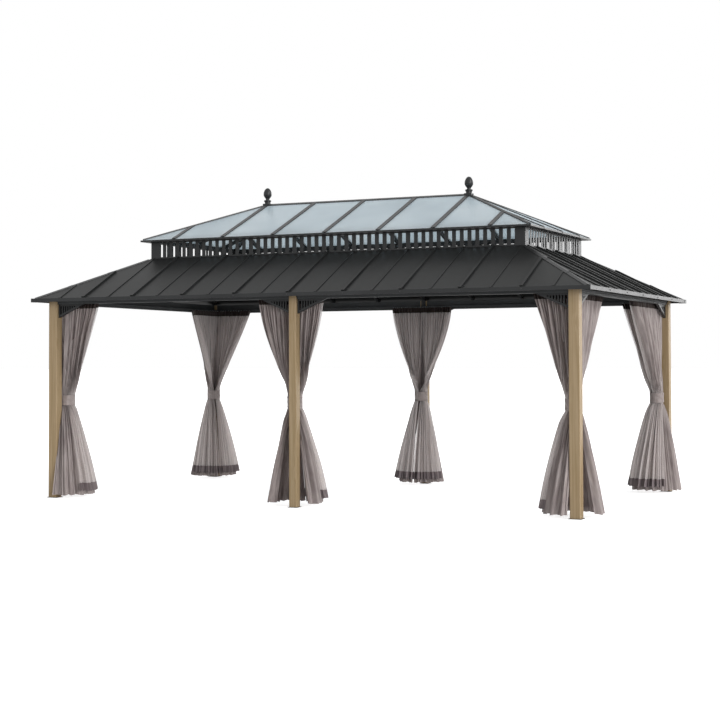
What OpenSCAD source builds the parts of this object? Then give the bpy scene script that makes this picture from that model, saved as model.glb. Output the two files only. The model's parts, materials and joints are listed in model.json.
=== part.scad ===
// Garden gazebo with a two-tier hip roof: six wood-look posts, a dark metal
// roof frame, ribbed steel sheets below, translucent glazing above, and
// curtains tied back at every post. Front is -Y, the long side runs along X.

/* [Overall size] */
// Length over the lower eaves
eave_length = 6100; // [4880:20:7320]
// Width over the lower eaves
eave_width = 3700; // [3000:20:4440]
// Height of the underside of the eave beams
headroom = 2045; // [1800:5:2500]

/* [Posts] */
// How far the eaves stand out past the posts on the long sides
eave_overhang_side = 120; // [90:1:170]
// How far the eaves stand out past the posts at the ends
eave_overhang_end = 142; // [80:1:220]
// Side of a corner post
corner_post = 100; // [80:1:140]
// Width of a middle post, along the beam
middle_post_width = 78; // [60:1:120]
// Depth of a middle post, across the beam
middle_post_depth = 90; // [70:1:120]
// Rounding of the posts' long edges
post_round = 5; // [2:0.5:12]
// How far a foot plate stands out past its post
foot_margin = 12; // [6:1:30]
// Thickness of a foot plate
foot_thickness = 5; // [3:0.5:10]

/* [Eave beams] */
// Thickness of the eave beams
beam_thickness = 60; // [40:1:80]
// Height of the eave beams
beam_height = 100; // [80:1:140]
// How far a beam's outer face sits back from the posts' outer faces
beam_setback = 16; // [8:1:20]
// Width of the strap over the beam joint at a middle post
splice_width = 56; // [40:1:70]
// Height of that strap
splice_height = 128; // [80:1:140]
// Thickness of that strap
splice_thickness = 5; // [3:0.5:8]
// How far the bead along a beam's outer face stands out
beam_bead = 10; // [4:1:14]
// Height of the bead's foot above the beam's underside
bead_level = 26; // [10:1:60]
// Depth of a curtain track, from the beam inwards
track_depth = 34; // [28:1:44]
// Height of a curtain track
track_height = 16; // [12:1:24]
// Height of a track's underside above the beam's underside
track_rise = 24; // [0:1:60]

/* [Gussets] */
// Length of a gusset along the beam
gusset_length = 325; // [240:5:420]
// Height of a gusset down the post
gusset_height = 145; // [100:5:240]
// Width of a gusset's outer bars
gusset_bar = 20; // [14:1:30]
// Width of the upright slats in a gusset
gusset_slat = 12; // [8:1:22]
// Number of upright slats in a gusset
gusset_slats = 8; // [3:1:9]
// Thickness of a gusset
gusset_thickness = 28; // [16:1:40]

/* [Lower roof] */
// Plan depth of the lower roof, from eave to frieze
lower_run = 915; // [760:5:1100]
// Rise of the lower roof, from eave to frieze
lower_rise = 460; // [380:2:560]
// Thickness of a roof sheet
sheet_thickness = 3; // [2:0.5:6]
// Distance between the joints of the roof sheets
sheet_pitch = 600; // [500:10:720]
// Width of a standing rib over a sheet joint
rib_width = 30; // [20:1:44]
// Height of a standing rib over a sheet joint
rib_height = 18; // [10:1:30]
// Width of the pressed rib in the middle of a sheet
mid_rib_width = 22; // [14:1:36]
// Height of the pressed rib in the middle of a sheet
mid_rib_height = 7; // [4:1:16]
// Height of the low ribs on the two ends
end_rib_height = 12; // [4:1:16]
// Width of a hip cap, from the hip to its edge
hip_cap_half = 32; // [24:1:50]
// Thickness of a hip cap
hip_cap_thickness = 5; // [3:0.5:8]
// Height of the eave trim
trim_height = 36; // [28:1:50]
// Height of the eave trim's bottom above the beams' underside
trim_rise = 22; // [10:1:60]
// Depth of the lip under the eave trim
trim_lip = 16; // [10:1:30]
// Thickness of the eave trim
trim_thickness = 4; // [2:0.5:6]
// Height of the trim above the edge of the roof sheets' underside
sheet_set = 10; // [4:1:20]
// Least width of a sheet at a hip, along the eave
corner_sheet = 400; // [300:10:700]
// Least distance from an eave's corner to a pressed rib
corner_rib = 300; // [150:10:500]
// Least distance from a frieze's corner to a rafter
corner_rafter = 100; // [60:10:300]
// How far short of the frieze a hip cap stops
hip_cap_stop = 20; // [5:1:40]
// Width of a rafter
rafter_width = 30; // [20:1:50]
// Depth of a rafter
rafter_depth = 38; // [24:1:60]

/* [Frieze] */
// Height of the slatted frieze between the roofs
frieze_height = 190; // [140:2:260]
// Thickness of a frieze plate
frieze_thickness = 5; // [3:0.5:8]
// Height of the solid band along the top and bottom of a frieze plate
frieze_rail = 17; // [10:1:30]
// Distance between neighbouring frieze slats
slat_pitch = 84; // [60:1:110]
// Width of the gap between two slats
slat_gap = 41; // [20:1:50]
// Width of the plain plate at each end of a frieze
frieze_end_plate = 108; // [60:1:140]
// Width of the plain plate over a joint in the long friezes
frieze_joint_plate = 48; // [30:1:80]
// Distance of the frieze joints from the middle
frieze_joint = 900; // [700:10:1000]
// Width of the ring bars behind the frieze
ring_width = 40; // [24:1:60]
// Height of the ring bars behind the frieze
ring_height = 50; // [40:1:70]

/* [Upper roof] */
// How far the upper eave stands out past the frieze
upper_overhang = 85; // [50:5:150]
// Pitch of the upper roof in degrees
upper_pitch = 23.1; // [16:0.1:30]
// Thickness of the glazing panels
glazing_thickness = 6; // [4:0.5:10]
// Width of a glazing bar's cap
bar_cap_width = 46; // [34:1:60]
// Thickness of a glazing bar's cap
bar_cap_thickness = 9; // [5:1:14]
// Width of a glazing bar's web
bar_web_width = 22; // [12:1:30]
// Depth of a glazing bar's web below the glazing
bar_web_depth = 38; // [24:1:50]
// Distance between the glazing bars of the hipped ends
end_bar_pitch = 600; // [450:10:760]
// Least width of a glazing panel at a hip, along the eave
corner_panel = 250; // [200:10:500]
// Height of the upper eave trim
upper_trim_height = 18; // [14:1:50]
// How far the upper eave trim reaches down over the frieze
upper_trim_drop = 8; // [0:1:20]
// Height of the upper trim above the edge of the glazing
glazing_set = 0; // [0:1:16]
// Half the width of the ridge cap
ridge_cap_half = 40; // [30:1:60]
// Height of a finial above the ridge cap
finial_height = 178; // [140:2:240]
// Widest diameter of a finial
finial_diameter = 92; // [70:1:120]
// Diameter of a finial's base
finial_base = 64; // [50:1:90]
// Height of a finial's base
finial_base_height = 18; // [10:1:30]
// Diameter of the ring over a finial's base
finial_ring = 79; // [60:1:100]
// Height of that ring
finial_ring_height = 27; // [14:1:40]
// Diameter of a finial's neck
finial_neck = 42; // [24:1:50]
// Height of a finial's neck
finial_neck_height = 11; // [6:1:20]

/* [Curtains] */
// Length of a gathered curtain along its track on the long sides
curtain_spread = 380; // [300:5:460]
// Length of a gathered curtain along its track at the left end
left_end_spread = 570; // [300:5:700]
// Length of a gathered curtain along its track at the right end
right_end_spread = 1050; // [300:5:1200]
// How far the front middle bundle hangs to the left of its post's middle
front_middle_shift = 60; // [0:1:80]
// Thickness of the gathered curtain at its track
curtain_thickness = 56; // [40:1:80]
// Height of the gathered band along the top of a curtain
curtain_heading = 30; // [20:1:60]
// Width of a tied-back bundle
bundle_width = 150; // [120:2:190]
// How far a corner bundle reaches past its post, along the beam
bundle_overlap = 60; // [0:1:80]
// How far a corner bundle hangs clear of its post, across the beam
bundle_clear = 12; // [4:1:40]
// Height of the middle of the tie bands above the ground
band_level = 1030; // [800:10:1200]
// Height of a tie band
band_height = 112; // [80:2:150]
// Thickness of a tie band
band_thickness = 4; // [2:0.5:8]
// How far the straight waist runs past a tie band, up and down
waist_margin = 9; // [4:1:30]
// Gap between the curtain hems and the ground
hem_gap = 30; // [10:1:80]
// Spread of a curtain's hem each way from its bundle
hem_spread = 270; // [200:5:340]

/* [Hidden] */
$fn = 48;

frame_colour = "#3a3c3d";
sheet_colour = "#4a4b4b";
wood_colour = "#a08b69";
glazing_colour = "#c3ced4";
fabric_colour = "#8a817d";
band_colour = "#3b2f2b";

// Clearance between neighbouring pieces that are fitted side by side
fit = 0.5;
// Clearance round the soft curtain solids
soft_gap = 0.3;
// Distance of a roof sheet's edge from the hip line, in plan
hip_gap = 3;
// Height of a finial's seat above the ridge cap's fold
seat_rise = 2;

half_length = eave_length / 2;
half_width = eave_width / 2;
post_x = half_length - eave_overhang_end;
post_y = half_width - eave_overhang_side;
beam_top = headroom + beam_height;
beam_x = post_x - beam_setback;
beam_y = post_y - beam_setback;

// Lower roof planes. The sheets' underside starts just inside the eave trim.
lower_pitch = atan(lower_rise / lower_run);
trim_bottom = headroom + trim_rise;
trim_inner = trim_thickness + fit;
sheet_base = trim_bottom + trim_height - sheet_set;
lower_depth = lower_run - trim_inner;
frieze_x = half_length - lower_run;
frieze_y = half_width - lower_run;
frieze_bottom = sheet_base + lower_depth * tan(lower_pitch);
frieze_top = frieze_bottom + frieze_height;
hip_angle = atan(tan(lower_pitch) / sqrt(2));
hip_fall = atan(sin(lower_pitch) / sqrt(2 - pow(sin(lower_pitch), 2)));
rafter_seat = middle_post_depth - beam_setback + splice_thickness + fit;

// Upper roof planes. The glazing's underside starts just inside the upper trim.
upper_x = frieze_x + upper_overhang;
upper_y = frieze_y + upper_overhang;
upper_trim_bottom = frieze_top - upper_trim_drop;
glazing_base = upper_trim_bottom + upper_trim_height - glazing_thickness - glazing_set;
upper_depth = upper_y - trim_inner;
upper_hip_angle = atan(tan(upper_pitch) / sqrt(2));
upper_hip_fall = atan(sin(upper_pitch) / sqrt(2 - pow(sin(upper_pitch), 2)));
ridge_x = upper_x - upper_y;
ridge_line = glazing_base + upper_depth * tan(upper_pitch);
cap_lift = ridge_line + glazing_thickness / cos(upper_pitch) + soft_gap;
finial_seat = cap_lift + bar_cap_thickness + seat_rise;

// Curtains. A bundle hangs just inside its post.
bundle_radius = bundle_width / 2;
middle_bundle_y = post_y - middle_post_depth - splice_thickness - soft_gap - bundle_radius;
corner_bundle_x = post_x - corner_post - bundle_radius + bundle_overlap;
corner_bundle_y = post_y - corner_post - bundle_radius - bundle_clear;
track_y = beam_y - beam_thickness;
track_x = beam_x - beam_thickness;
track_bottom = headroom + track_rise;
band_low = band_level - band_height / 2;
waist_low = band_low - waist_margin;
waist_high = band_low + band_height + waist_margin;
curtain_top = track_bottom - soft_gap;

// The front right piece, repeated at the other three corners
module at_corners() {
    for (flip_x = [0, 1], flip_y = [0, 1])
        mirror([flip_x, 0, 0])
            mirror([0, flip_y, 0])
                children();
}

module at_front_and_rear() {
    for (turn = [0, 180])
        rotate(turn)
            children();
}

// A rectangle with round corners, centred
module round_rect(size_x, size_y, radius) {
    square([size_x - 2 * radius, size_y], center = true);
    square([size_x, size_y - 2 * radius], center = true);
    for (side_x = [-1, 1], side_y = [-1, 1])
        translate([side_x * (size_x / 2 - radius), side_y * (size_y / 2 - radius)])
            circle(radius);
}

// ---------------------------------------------------------------- posts

module post(size_x, size_y) {
    color(wood_colour)
        translate([0, 0, foot_thickness])
            linear_extrude(beam_top - foot_thickness)
                round_rect(size_x, size_y, post_round);
}

module corner_post_at(side_x, side_y) {
    translate([side_x * (post_x - corner_post / 2), side_y * (post_y - corner_post / 2), 0])
        post(corner_post, corner_post);
}

module middle_post_at(side_y) {
    translate([0, side_y * (post_y - middle_post_depth / 2), 0])
        post(middle_post_width, middle_post_depth);
}

module post_front_left() { corner_post_at(-1, -1); }
module post_front_middle() { middle_post_at(-1); }
module post_front_right() { corner_post_at(1, -1); }
module post_rear_left() { corner_post_at(-1, 1); }
module post_rear_middle() { middle_post_at(1); }
module post_rear_right() { corner_post_at(1, 1); }

module foot_plate(size_x, size_y) {
    linear_extrude(foot_thickness)
        round_rect(size_x + 2 * foot_margin, size_y + 2 * foot_margin, post_round);
}

module foot_plates() {
    color(frame_colour) {
        at_corners()
            translate([post_x - corner_post / 2, corner_post / 2 - post_y, 0])
                foot_plate(corner_post, corner_post);
        at_front_and_rear()
            translate([0, middle_post_depth / 2 - post_y, 0])
                foot_plate(middle_post_width, middle_post_depth);
    }
}

// ---------------------------------------------------------------- eave beams

// A beam's section: x is outwards, y is up, with a bead on the outer face
module beam_section() {
    slant = beam_bead / 2;
    square([beam_thickness, beam_height]);
    translate([beam_thickness, bead_level])
        polygon([
            [0, 0],
            [beam_bead, slant],
            [beam_bead, beam_bead],
            [0, beam_bead + slant]
        ]);
}

// A beam along x, with its outer face at -line
module beam(from_x, to_x, line) {
    translate([from_x, beam_thickness - line, headroom])
        rotate([90, 0, 90])
            linear_extrude(to_x - from_x)
                mirror([1, 0])
                    beam_section();
}

// Two beams, from the middle post to each corner post
module beam_front() {
    first = middle_post_width / 2;
    last = post_x - corner_post;
    color(frame_colour) {
        beam(first, last, beam_y);
        beam(-last, -first, beam_y);
    }
}

module beam_rear() { rotate(180) beam_front(); }

module beam_right() {
    last = post_y - corner_post;
    color(frame_colour)
        rotate(90)
            beam(-last, last, beam_x);
}

module beam_left() { rotate(180) beam_right(); }

// A strap on the inner face of each middle post, over the beam joint
module splice_straps() {
    inner = post_y - middle_post_depth;
    color(frame_colour)
        at_front_and_rear()
            translate([-splice_width / 2, -inner, beam_top - soft_gap - splice_height])
                cube([splice_width, splice_thickness, splice_height]);
}

// Tracks on the beams' inner faces, which the curtains hang from
module curtain_tracks() {
    first = middle_post_width / 2 + fit;
    last = post_x - corner_post - fit;
    end_half = min(track_y - track_depth, post_y - corner_post) - fit;
    color(frame_colour)
        translate([0, 0, track_bottom])
            at_front_and_rear() {
                for (side = [0, 1])
                    mirror([side, 0, 0])
                        translate([first, -track_y, 0])
                            cube([last - first, track_depth, track_height]);
                translate([track_x - track_depth, -end_half, 0])
                    cube([track_depth, 2 * end_half, track_height]);
            }
}

// ---------------------------------------------------------------- gussets

// A slatted triangle in the XZ plane, with the post at x = 0 and the beam above
module gusset() {
    rise_per_run = gusset_height / gusset_length;
    bar_drop = gusset_bar / cos(atan(rise_per_run));
    inner_length = gusset_length - bar_drop / rise_per_run;
    slat_step = (inner_length - gusset_bar) / (gusset_slats + 1);
    rotate([90, 0, 0])
        linear_extrude(gusset_thickness, center = true)
            intersection() {
                polygon([[0, -gusset_height], [gusset_length, 0], [0, 0]]);
                union() {
                    translate([0, -gusset_bar])
                        square([gusset_length, gusset_bar]);
                    translate([0, -gusset_height])
                        square([gusset_bar, gusset_height]);
                    polygon([
                        [0, -gusset_height],
                        [gusset_length, 0],
                        [inner_length, 0],
                        [0, bar_drop - gusset_height]
                    ]);
                    for (slat = [1:gusset_slats])
                        translate([
                            gusset_bar + slat * slat_step - gusset_slat / 2,
                            -gusset_height
                        ])
                            square([gusset_slat, gusset_height]);
                }
            }
}

module gussets_front() {
    color(frame_colour)
        for (side = [0, 1])
            mirror([side, 0, 0])
                translate([0, beam_thickness / 2 - beam_y, headroom]) {
                    translate([middle_post_width / 2, 0, 0])
                        gusset();
                    translate([post_x - corner_post, 0, 0])
                        mirror([1, 0, 0])
                            gusset();
                }
}

module gussets_rear() { rotate(180) gussets_front(); }

module gussets_ends() {
    color(frame_colour)
        at_corners()
            translate([beam_x - beam_thickness / 2, corner_post - post_y, headroom])
                rotate(90)
                    gusset();
}

// ---------------------------------------------------------------- slopes

// Places children on the front slope of a hip roof: x along the eave, y up
module on_front(eave_y, base, pitch) {
    translate([0, trim_inner - eave_y, base])
        rotate([pitch, 0, 0])
            children();
}

module on_lower_front() { on_front(half_width, sheet_base, lower_pitch) children(); }
module on_lower_right() { rotate(90) on_front(half_length, sheet_base, lower_pitch) children(); }
module on_upper_front() { on_front(upper_y, glazing_base, upper_pitch) children(); }
module on_upper_right() { rotate(90) on_front(upper_x, glazing_base, upper_pitch) children(); }

// The part of a slope between two lines that run up it, from start upwards.
// The slope is depth deep in plan, and is drawn in from its hips by inset,
// measured along the eave.
module slope_strip(from_x, to_x, start, eave_half, depth, pitch, inset) {
    half = eave_half - inset;
    rise = min(depth, half - fit);
    intersection() {
        polygon([
            [-half, 0],
            [half, 0],
            [half - rise, rise / cos(pitch)],
            [rise - half, rise / cos(pitch)]
        ]);
        translate([from_x, start])
            square([to_x - from_x, depth / cos(pitch)]);
    }
}

// A bar of one width up a slope
module slope_bar(line, width, start, eave_half, depth, pitch, inset) {
    slope_strip(line - width / 2, line + width / 2, start, eave_half, depth, pitch, inset);
}

// Start of a layer that stands height over a slope, so that its lower end
// stays behind the eave trim
function start_for(height, pitch) = height * tan(pitch);

// Lines at even steps out from the middle, as far as limit
function even_lines(limit, pitch) =
    [for (place = [-floor(limit / pitch) : floor(limit / pitch)]) place * pitch];

// Lines halfway between those, as far as limit
function half_lines(limit, pitch) =
    [for (place = [-floor(limit / pitch + 0.5) : floor(limit / pitch + 0.5) - 1])
        (place + 0.5) * pitch];

// Runs a section up the front right hip from the point where its two eaves
// cross. In the section, x is across the hip and y is up.
module along_hip(eave_x, eave_y, base, angle, from, to) {
    translate([eave_x - trim_inner, trim_inner - eave_y, base])
        rotate([90 - angle, 0, -135])
            translate([0, 0, from])
                linear_extrude(to - from)
                    children();
}

// Distance up a hip of a point that lies depth in from both eaves
function up_hip(depth, angle) = depth * sqrt(2) / cos(angle);

// Start of a folded cap up a hip, so that its lower end stays behind the trim
function cap_start_for(half, thickness, angle) =
    up_hip(half * sqrt(0.5), angle) + start_for(thickness + fit, angle);

// A folded cap's section, which falls away on both sides
module folded_cap(half, thickness, fall, lift) {
    edge = lift - half * tan(fall);
    polygon([
        [0, lift], [half, edge], [half, edge + thickness],
        [0, lift + thickness], [-half, edge + thickness], [-half, edge]
    ]);
}

// One side of a rectangular ring, with mitred ends that don't touch the next
module ring_side(half_x, half_y, depth, height) {
    linear_extrude(height)
        polygon([
            [fit - half_x, -half_y],
            [half_x - fit, -half_y],
            [half_x - fit - depth, depth - half_y],
            [fit + depth - half_x, depth - half_y]
        ]);
}

module ring(half_x, half_y, depth, height) {
    at_front_and_rear() {
        ring_side(half_x, half_y, depth, height);
        rotate(90)
            ring_side(half_y, half_x, depth, height);
    }
}

// ---------------------------------------------------------------- lower roof

sheet_lines_long = even_lines(half_length - corner_sheet, sheet_pitch);
sheet_lines_end = even_lines(half_width - corner_sheet, sheet_pitch);

module roof_sheets(eave_half, lines) {
    places = concat([-eave_half], lines, [eave_half]);
    color(sheet_colour)
        for (strip = [0 : len(places) - 2])
            linear_extrude(sheet_thickness)
                slope_strip(
                    places[strip] + fit, places[strip + 1] - fit,
                    start_for(sheet_thickness, lower_pitch),
                    eave_half - trim_inner, lower_depth - fit, lower_pitch, hip_gap
                );
}

module roof_sheets_front() { on_lower_front() roof_sheets(half_length, sheet_lines_long); }
module roof_sheets_rear() { rotate(180) roof_sheets_front(); }
module roof_sheets_right() { on_lower_right() roof_sheets(half_width, sheet_lines_end); }
module roof_sheets_left() { rotate(180) roof_sheets_right(); }

// Standing ribs over the sheet joints, and low pressed ribs between them
module slope_ribs(eave_half, lines, low_height) {
    inset = hip_cap_half * sqrt(2) + 2 * fit;
    eave = eave_half - trim_inner;
    start = start_for(sheet_thickness + rib_height, lower_pitch);
    depth = lower_depth - 2 * fit;
    color(sheet_colour)
        translate([0, 0, sheet_thickness]) {
            for (line = lines)
                linear_extrude(rib_height)
                    slope_bar(line, rib_width, start, eave, depth, lower_pitch, inset);
            for (line = half_lines(eave_half - corner_rib, sheet_pitch))
                linear_extrude(low_height)
                    slope_bar(line, mid_rib_width, start, eave, depth, lower_pitch, inset);
        }
}

module ribs_front() { on_lower_front() slope_ribs(half_length, sheet_lines_long, mid_rib_height); }
module ribs_rear() { rotate(180) ribs_front(); }

module ribs_ends() {
    at_front_and_rear()
        on_lower_right()
            slope_ribs(half_width, sheet_lines_end, end_rib_height);
}

module hip_caps() {
    color(frame_colour)
        at_corners()
            along_hip(
                half_length, half_width, sheet_base, hip_angle,
                cap_start_for(hip_cap_half, hip_cap_thickness, hip_angle),
                up_hip(lower_depth - hip_cap_stop, hip_angle)
            )
                folded_cap(
                    hip_cap_half, hip_cap_thickness, hip_fall,
                    sheet_thickness / cos(hip_fall) + soft_gap
                );
}

// Rafters under the hips, from a corner post's top to the frieze corner
module hip_rafters() {
    edge = -rafter_width / 2 * tan(hip_fall) - soft_gap;
    start = (beam_top + soft_gap - sheet_base + rafter_depth * cos(hip_angle)) / sin(hip_angle);
    color(frame_colour)
        at_corners()
            along_hip(
                half_length, half_width, sheet_base, hip_angle,
                start, up_hip(lower_depth, hip_angle) - rafter_width / 2
            )
                polygon([
                    [-rafter_width / 2, edge],
                    [0, -soft_gap],
                    [rafter_width / 2, edge],
                    [rafter_width / 2, -rafter_depth],
                    [-rafter_width / 2, -rafter_depth]
                ]);
}

// A rafter's side: x is the distance in from the eave. Its outer end sits on
// the beam and its inner end meets the ring bar, under the frieze plate.
module rafter_side(beam_inset) {
    slope = tan(lower_pitch);
    top = sheet_base - trim_inner * slope - soft_gap;
    drop = rafter_depth / cos(lower_pitch);
    seat = beam_inset + rafter_seat;
    polygon([
        [beam_inset, beam_top],
        [seat, beam_top],
        [seat, max(beam_top, top + seat * slope - drop)],
        [lower_run + frieze_thickness, top + (lower_run + frieze_thickness) * slope - drop],
        [lower_run + frieze_thickness, top + lower_run * slope - fit],
        [lower_run - fit / slope, top + lower_run * slope - fit],
        [beam_inset, top + beam_inset * slope]
    ]);
}

module rafter_row(lines, eave_half, beam_line) {
    at_front_and_rear()
        for (line = lines)
            translate([line - rafter_width / 2, -eave_half, 0])
                rotate([90, 0, 90])
                    linear_extrude(rafter_width)
                        rafter_side(eave_half - beam_line);
}

module rafters() {
    color(frame_colour) {
        rafter_row(even_lines(frieze_x - corner_rafter, sheet_pitch), half_width, beam_y);
        rotate(90)
            rafter_row(even_lines(frieze_y - corner_rafter, sheet_pitch), half_length, beam_x);
    }
}

module eave_trim() {
    color(frame_colour)
        translate([0, 0, trim_bottom]) {
            ring(half_length, half_width, trim_thickness, trim_height);
            ring(half_length, half_width, trim_lip, trim_thickness);
        }
}

// ---------------------------------------------------------------- frieze

// Windows spaced evenly between two lines
module frieze_windows(from_x, to_x) {
    count = round((to_x - from_x) / slat_pitch);
    step = (to_x - from_x) / count;
    for (place = [0 : count - 1])
        translate([from_x + (place + 0.5) * step - slat_gap / 2, frieze_rail])
            square([slat_gap, frieze_height - 2 * frieze_rail]);
}

// An upright slatted plate along the front line, with plain plates at its
// ends and over its joints
module frieze_plate(half, end_plate, joints) {
    half_slat = (slat_pitch - slat_gap) / 2;
    joint_edge = frieze_joint_plate / 2 - half_slat;
    edge = half - end_plate + half_slat;
    starts = concat([-edge], [for (joint = joints) joint + joint_edge]);
    ends = concat([for (joint = joints) joint - joint_edge], [edge]);
    color(frame_colour)
        rotate([90, 0, 0])
            linear_extrude(frieze_thickness)
                difference() {
                    translate([-half, 0])
                        square([2 * half, frieze_height]);
                    for (stretch = [0 : len(starts) - 1])
                        frieze_windows(starts[stretch], ends[stretch]);
                }
}

module frieze_front() {
    translate([0, frieze_thickness - frieze_y, frieze_bottom])
        frieze_plate(frieze_x, frieze_end_plate, [-frieze_joint, frieze_joint]);
}

module frieze_rear() { rotate(180) frieze_front(); }

module frieze_right() {
    shorter = frieze_thickness + fit;
    rotate(90)
        translate([0, frieze_thickness - frieze_x, frieze_bottom])
            frieze_plate(frieze_y - shorter, frieze_end_plate - shorter, []);
}

module frieze_left() { rotate(180) frieze_right(); }

// Uprights inside the frieze corners, between the lower and the upper ring
module frieze_corners() {
    outer = frieze_thickness + soft_gap;
    base = frieze_bottom + frieze_rail + soft_gap;
    top = frieze_top - frieze_rail - soft_gap;
    color(frame_colour)
        at_corners()
            translate([frieze_x - outer - ring_width, outer - frieze_y, base])
                cube([ring_width, ring_width, top - base]);
}

// Bars behind the frieze's bottom and top rails
module ring_bars() {
    half_x = frieze_x - frieze_thickness;
    half_y = frieze_y - frieze_thickness;
    color(frame_colour) {
        translate([0, 0, frieze_bottom + frieze_rail - ring_height])
            ring(half_x, half_y, ring_width, ring_height);
        translate([0, 0, frieze_top - frieze_rail])
            ring(half_x, half_y, ring_width, ring_height);
    }
}

// ---------------------------------------------------------------- upper roof

bar_lines_long = even_lines(upper_x - corner_panel, sheet_pitch);
bar_lines_end = even_lines(upper_y - corner_panel, end_bar_pitch);
web_edge = bar_web_width / 2 + fit;

// Panels between the webs, clear of the hips' webs and the ridge
module glazing_panels(eave_half, lines) {
    places = concat([-eave_half - web_edge], lines, [eave_half + web_edge]);
    color(glazing_colour, 0.6)
        for (panel = [0 : len(places) - 2])
            linear_extrude(glazing_thickness)
                slope_strip(
                    places[panel] + web_edge, places[panel + 1] - web_edge,
                    start_for(glazing_thickness, upper_pitch),
                    eave_half - trim_inner, upper_depth - web_edge,
                    upper_pitch, web_edge * sqrt(2)
                );
}

module glazing_long() {
    at_front_and_rear()
        on_upper_front()
            glazing_panels(upper_x, bar_lines_long);
}

module glazing_ends() {
    at_front_and_rear()
        on_upper_right()
            glazing_panels(upper_y, bar_lines_end);
}

// Bars up a slope: a cap over the panels, and a web between them that starts
// inside the ring bars
module slope_bars(eave_half, lines) {
    eave = eave_half - trim_inner;
    lean = bar_web_depth * sin(upper_pitch);
    web_start = upper_overhang - trim_inner + frieze_thickness + ring_width + fit;
    cap_start = start_for(glazing_thickness + bar_cap_thickness, upper_pitch);
    for (line = lines) {
        translate([0, 0, -bar_web_depth])
            linear_extrude(bar_web_depth + glazing_thickness)
                slope_bar(
                    line, bar_web_width, web_start / cos(upper_pitch), eave,
                    upper_depth - lean - web_edge, upper_pitch, web_edge * sqrt(2) + lean
                );
        translate([0, 0, glazing_thickness])
            linear_extrude(bar_cap_thickness)
                slope_bar(
                    line, bar_cap_width, cap_start, eave,
                    upper_depth - ridge_cap_half - 2 * fit, upper_pitch,
                    bar_cap_width / 2 * sqrt(2) + 2 * fit
                );
    }
}

module glazing_bars() {
    color(frame_colour)
        at_front_and_rear() {
            on_upper_front()
                slope_bars(upper_x, bar_lines_long);
            on_upper_right()
                slope_bars(upper_y, bar_lines_end);
        }
}

module hip_bars() {
    lift = glazing_thickness / cos(upper_hip_fall) + soft_gap;
    inner_corner = upper_overhang - trim_inner + frieze_thickness + ring_width;
    ridge_end = upper_depth - ridge_cap_half - 2 * fit;
    color(frame_colour)
        at_corners() {
            along_hip(
                upper_x, upper_y, glazing_base, upper_hip_angle,
                cap_start_for(bar_cap_width / 2, bar_cap_thickness, upper_hip_angle),
                up_hip(ridge_end, upper_hip_angle)
            )
                folded_cap(bar_cap_width / 2, bar_cap_thickness, upper_hip_fall, lift);
            along_hip(
                upper_x, upper_y, glazing_base, upper_hip_angle,
                up_hip(inner_corner, upper_hip_angle) + bar_web_width / 2,
                up_hip(ridge_end - web_edge, upper_hip_angle)
            )
                translate([-bar_web_width / 2, -bar_web_depth])
                    square([bar_web_width, bar_web_depth + lift]);
        }
}

// The ridge's cap, with a level seat for a finial at each end
module ridge_cap() {
    seat_top = finial_seat - soft_gap;
    seat_edge = cap_lift - ridge_cap_half * tan(upper_pitch);
    end = ridge_x + ridge_cap_half;
    color(frame_colour)
        rotate([90, 0, 90]) {
            translate([0, 0, -end])
                linear_extrude(2 * end)
                    folded_cap(ridge_cap_half, bar_cap_thickness, upper_pitch, cap_lift);
            for (from = [-end, ridge_x - ridge_cap_half])
                translate([0, 0, from])
                    linear_extrude(2 * ridge_cap_half)
                        polygon([
                            [-ridge_cap_half, seat_edge],
                            [0, cap_lift],
                            [ridge_cap_half, seat_edge],
                            [ridge_cap_half, seat_top],
                            [-ridge_cap_half, seat_top]
                        ]);
        }
}

// The trim's face, and a soffit from the frieze out to it
module upper_eave_trim() {
    color(frame_colour)
        translate([0, 0, upper_trim_bottom]) {
            ring(upper_x, upper_y, trim_thickness, upper_trim_height);
            ring(upper_x, upper_y, upper_overhang, trim_thickness);
        }
}

// Half outline of a finial: base, ring, neck and an egg with a blunt top
module finial_outline() {
    base = finial_base / 2;
    ring = finial_ring / 2;
    neck = finial_neck / 2;
    radius = finial_diameter / 2;
    ring_top = finial_base_height + finial_ring_height;
    egg_base = ring_top + finial_neck_height;
    egg = finial_height - egg_base;
    belly = 0.4;
    bluntness = 0.5;
    round_over = finial_ring_height / 4;
    steps = 12;
    polygon(concat(
        [
            [0, 0],
            [base, 0],
            [base, finial_base_height],
            [ring, finial_base_height + round_over],
            [ring, ring_top - round_over],
            [neck, ring_top]
        ],
        [for (step = [0 : steps])
            [neck + (radius - neck) * sin(90 * step / steps), egg_base + egg * belly * step / steps]],
        [for (step = [1 : steps])
            let (share = step / steps)
                [radius * pow(cos(90 * share), bluntness), egg_base + egg * (belly + (1 - belly) * share)]]
    ));
}

module finials() {
    color(frame_colour)
        for (side = [-1, 1])
            translate([side * ridge_x, 0, finial_seat])
                rotate_extrude()
                    finial_outline();
}

// ---------------------------------------------------------------- curtains

// The end of a gathered stretch, just inside the round waist
module waist_disc(level) {
    translate([0, 0, level])
        linear_extrude(1)
            circle(bundle_radius - 1, $fn = 24);
}

// A bundle from waist to hem, clear of the post that stands at post_at
module curtain_skirt(post_at, post_size) {
    difference() {
        hull() {
            waist_disc(waist_low);
            translate([0, 0, hem_gap])
                linear_extrude(1)
                    circle(hem_spread, $fn = 24);
        }
        translate([post_at[0], post_at[1], 0])
            linear_extrude(band_level)
                square([post_size[0] + 2 * soft_gap, post_size[1] + 2 * soft_gap], center = true);
    }
}

// The tied waist, a plain cylinder
module curtain_waist() {
    translate([0, 0, waist_low])
        cylinder(h = waist_high - waist_low, r = bundle_radius);
}

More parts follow.
